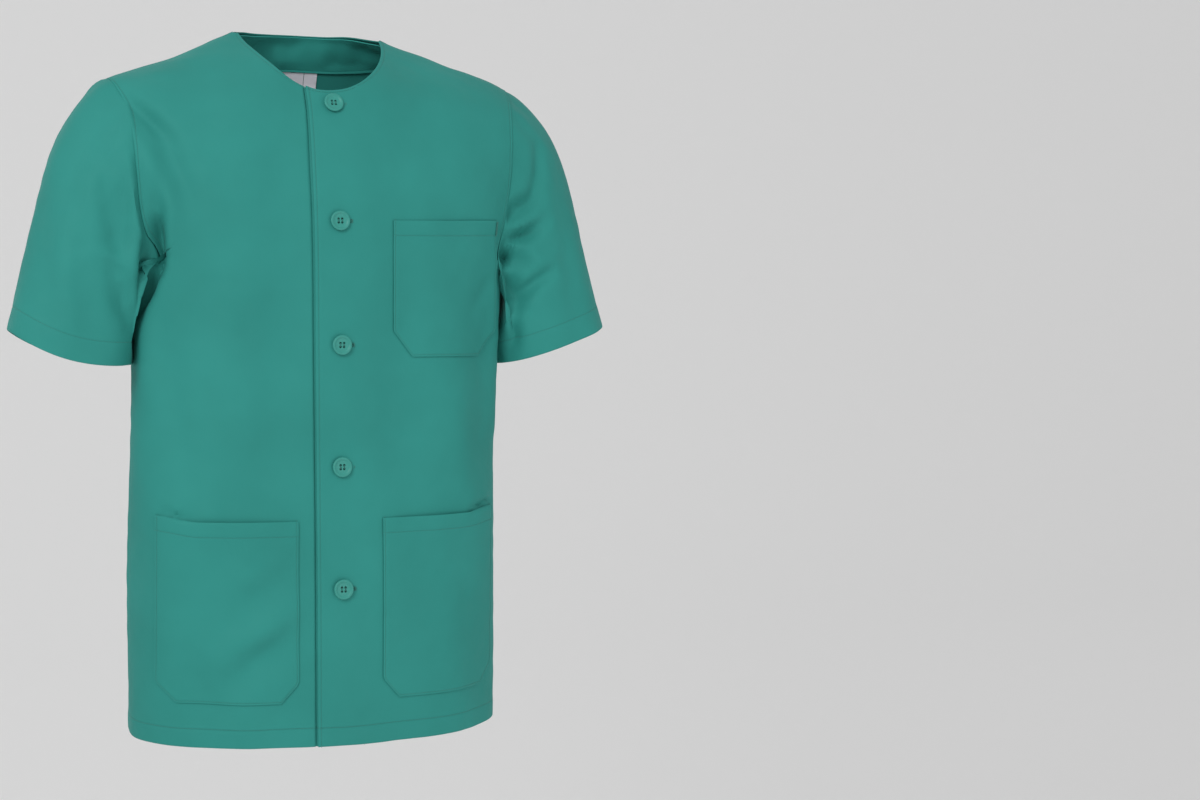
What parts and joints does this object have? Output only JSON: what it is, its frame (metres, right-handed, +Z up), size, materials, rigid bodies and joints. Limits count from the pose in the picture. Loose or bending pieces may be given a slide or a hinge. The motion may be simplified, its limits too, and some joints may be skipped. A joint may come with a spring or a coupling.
{
  "type": "medical scrubs tunic",
  "caption": "Short-sleeved, round-necked scrub tunic with a buttoned front, a chest pocket and hip pockets, filled out as when worn.",
  "frame": {"origin": "midway between the two points where the shoulder seams meet the neck", "axes": "+Z up, the wearer faces -Y, +X is the wearer's left"},
  "size_m": [0.6521, 0.2326, 0.7435],
  "materials": {
    "cloth": "plain-woven polyester and cotton, matt, surgical green",
    "button": "moulded polyester, satin, dyed to match the cloth",
    "label": "white woven ribbon with a slight sheen"
  },
  "bodies": {
    "root": {"front_right": "cloth", "front_left": "cloth", "back": "cloth", "sleeve_right": "cloth", "sleeve_left": "cloth", "neck_facing": "cloth", "label": "label", "size_label": "label", "pocket_chest": "cloth", "pocket_hip_right": "cloth", "pocket_hip_left": "cloth", "button_1": "button", "button_2": "button", "button_3": "button", "button_4": "button", "button_5": "button"}
  },
  "joints": []
}
